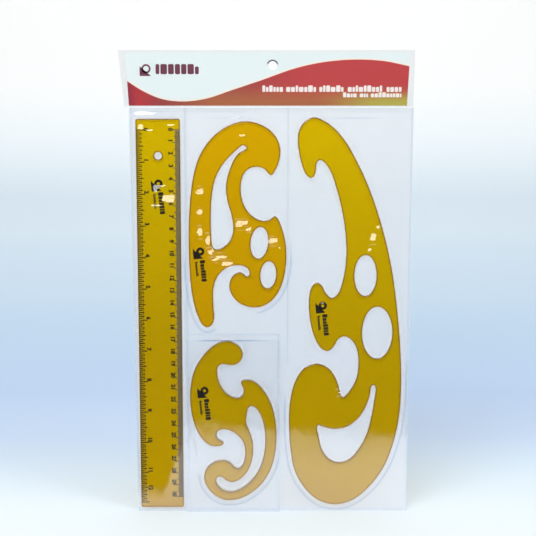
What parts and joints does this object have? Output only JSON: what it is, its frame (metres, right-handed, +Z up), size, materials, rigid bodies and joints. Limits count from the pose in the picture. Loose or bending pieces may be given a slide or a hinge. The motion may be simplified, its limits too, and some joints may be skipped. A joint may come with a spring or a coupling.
{
  "type": "french curve drawing set",
  "caption": "Clear hanging pouch with a printed header card, holding a long ruler and french curves of translucent amber plastic, each in its own compartment.",
  "frame": {"origin": "centre of the hang hole in the header", "axes": "+Z up along the hanging pouch, front of the pack faces -Y, +X to the right as seen from the front"},
  "size_m": [0.2319, 0.0052, 0.374],
  "materials": {
    "card": "satin",
    "wave_ink": "gloss",
    "cream_ink": "gloss",
    "maroon_ink": "gloss",
    "white_ink": "gloss",
    "film": "gloss",
    "seam": "gloss",
    "ruler_plastic": "gloss",
    "curve_plastic": "gloss",
    "black_ink": "satin"
  },
  "bodies": {
    "header": {"header_card": "card", "header_wave": "wave_ink", "header_wave_line": "cream_ink", "header_mark": "maroon_ink", "header_caption": "white_ink", "header_front_film": "film", "header_back_film": "film"},
    "pouch": {"pouch_back_sheet": "film", "pouch_front_sheet": "film", "left_seam": "seam", "right_seam": "seam", "foot_seam": "seam", "ruler_seam": "seam", "upper_seam": "seam", "lower_seam": "seam", "rest_seam": "seam", "pocket_sheet": "film", "pocket_left_seam": "seam", "pocket_right_seam": "seam", "pocket_foot_seam": "seam"},
    "ruler": {"ruler_blade": "ruler_plastic", "ruler_cm_scale": "black_ink", "ruler_inch_scale": "black_ink", "ruler_mark": "black_ink"},
    "large": {"large_curve": "curve_plastic", "large_curve_mark": "black_ink"},
    "medium": {"medium_curve": "curve_plastic", "medium_curve_mark": "black_ink"},
    "small": {"small_curve": "curve_plastic", "small_curve_mark": "black_ink"}
  },
  "joints": [
    {"name": "header_fold", "type": "hinge", "parent": "header", "child": "pouch", "pos_m": [0, -0.00045, -0.0323], "axis": [-1, 0, 0], "range_deg": [0, 120]},
    {"name": "ruler_slide", "type": "slide", "parent": "pouch", "child": "ruler", "axis": [0, 0, 1], "range_m": [0, 0.33]},
    {"name": "large_slide", "type": "slide", "parent": "pouch", "child": "large", "axis": [0, 0, 1], "range_m": [0, 0.328]},
    {"name": "medium_slide", "type": "slide", "parent": "pouch", "child": "medium", "axis": [0, 0, 1], "range_m": [0, 0.18]},
    {"name": "small_slide", "type": "slide", "parent": "pouch", "child": "small", "axis": [0, 0, 1], "range_m": [0, 0.14]}
  ]
}
